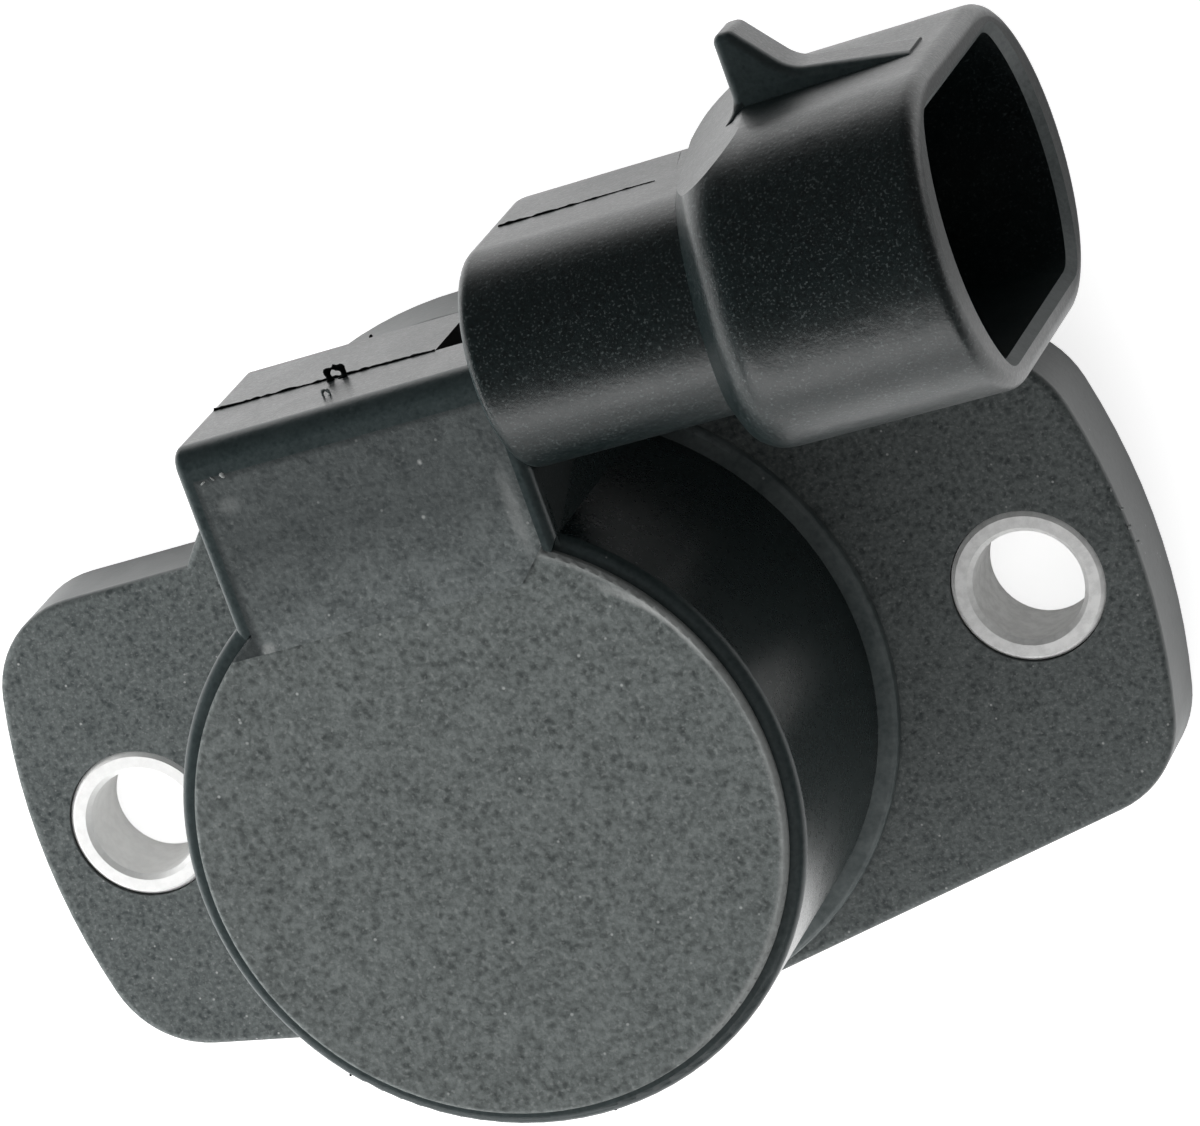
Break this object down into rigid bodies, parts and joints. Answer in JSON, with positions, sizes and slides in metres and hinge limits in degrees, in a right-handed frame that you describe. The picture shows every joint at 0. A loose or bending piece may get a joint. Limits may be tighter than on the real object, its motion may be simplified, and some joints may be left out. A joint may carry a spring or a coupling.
{
  "type": "throttle position sensor",
  "caption": "Rotary position sensor in a black moulded housing with a fixing flange, a side connector with latch lug, and an inner rotor that a throttle shaft turns.",
  "frame": {"origin": "on the rotor axis at the flange's rear face, midway between the two fixing holes", "axes": "+Z along the rotor axis towards the front cover, +X along the fixing holes towards the connector mouth, +Y towards the terminal block"},
  "size_m": [0.0651, 0.0515, 0.0305],
  "materials": {
    "housing_plastic": "glass-filled moulding with a fine spark texture",
    "cover_plastic": "fine spark texture",
    "sleeve_metal": "turned",
    "terminal_brass": "tinned, stamped",
    "board_ceramic": "plain",
    "carbon_print": "printed carbon ink",
    "silver_print": "printed silver ink",
    "solder": "bright solder",
    "rotor_plastic": "moulded",
    "wiper_alloy": "stamped spring alloy",
    "spring_steel": "plain spring steel",
    "bush_plastic": "smooth bearing plastic",
    "seal_rubber": "moulded"
  },
  "bodies": {
    "body": {"housing": "housing_plastic", "front_cover": "cover_plastic", "left_sleeve": "sleeve_metal", "right_sleeve": "sleeve_metal", "ground_terminal": "terminal_brass", "signal_terminal": "terminal_brass", "supply_terminal": "terminal_brass", "track_board": "board_ceramic", "resistor_track": "carbon_print", "collector_track": "carbon_print", "conductors": "silver_print", "solder_joints": "solder", "rotor_bush": "bush_plastic", "rotor_seal": "seal_rubber", "thrust_washer": "bush_plastic", "flange_seal": "seal_rubber"},
    "rotor": {"rotor": "rotor_plastic", "wiper": "wiper_alloy", "drive_clip": "spring_steel", "spring_washer": "spring_steel", "retaining_ring": "spring_steel"}
  },
  "joints": [
    {"name": "rotor_turn", "type": "hinge", "parent": "body", "child": "rotor", "pos_m": [0, 0, 0], "axis": [0, 0, 1], "range_deg": [0, 110]}
  ]
}
